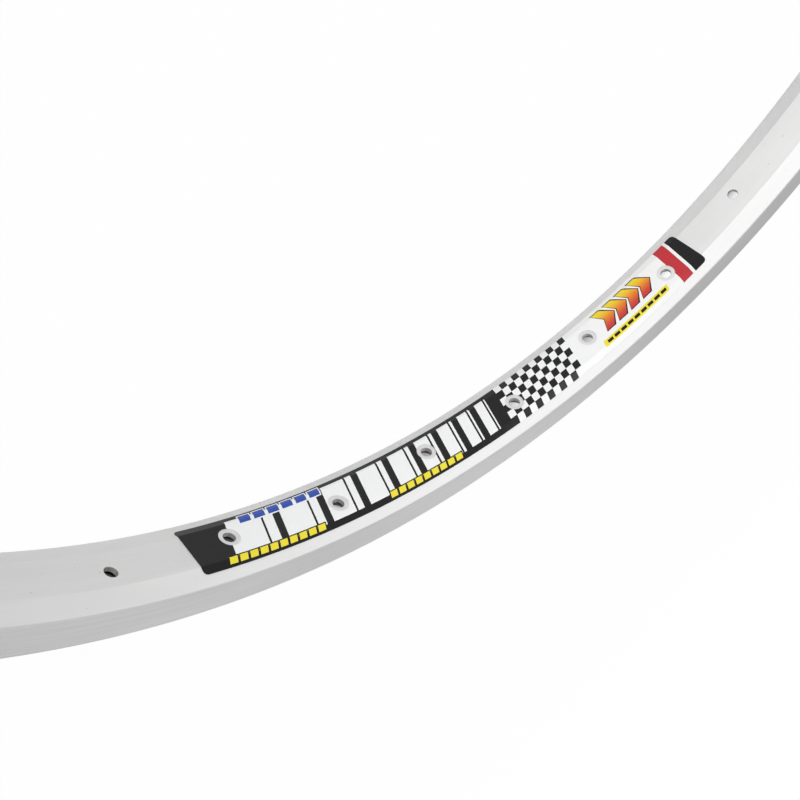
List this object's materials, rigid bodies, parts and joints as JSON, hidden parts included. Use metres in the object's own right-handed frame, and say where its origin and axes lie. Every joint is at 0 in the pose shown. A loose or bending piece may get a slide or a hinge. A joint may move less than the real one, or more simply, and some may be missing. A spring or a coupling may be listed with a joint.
{
  "type": "bicycle rim",
  "caption": "Hollow double-wall bicycle rim with hooked flanges, a flat spoke bed between slanted facets, staggered spoke holes and a printed film.",
  "frame": {"origin": "centre of the hoop, where the middle plane of the rim crosses the wheel axis", "axes": "+Z along the wheel axis, up from the floor that the rim lies on; +X out through the valve hole"},
  "size_m": [0.5709, 0.571, 0.0288],
  "materials": {
    "rim_alloy": "satin silver anodised",
    "sleeve_alloy": "plain mill finish",
    "printed_film": "printed gloss film"
  },
  "bodies": {
    "root": {"rim_hoop": "rim_alloy", "joint_sleeve": "sleeve_alloy", "rim_decal": "printed_film"}
  },
  "joints": []
}
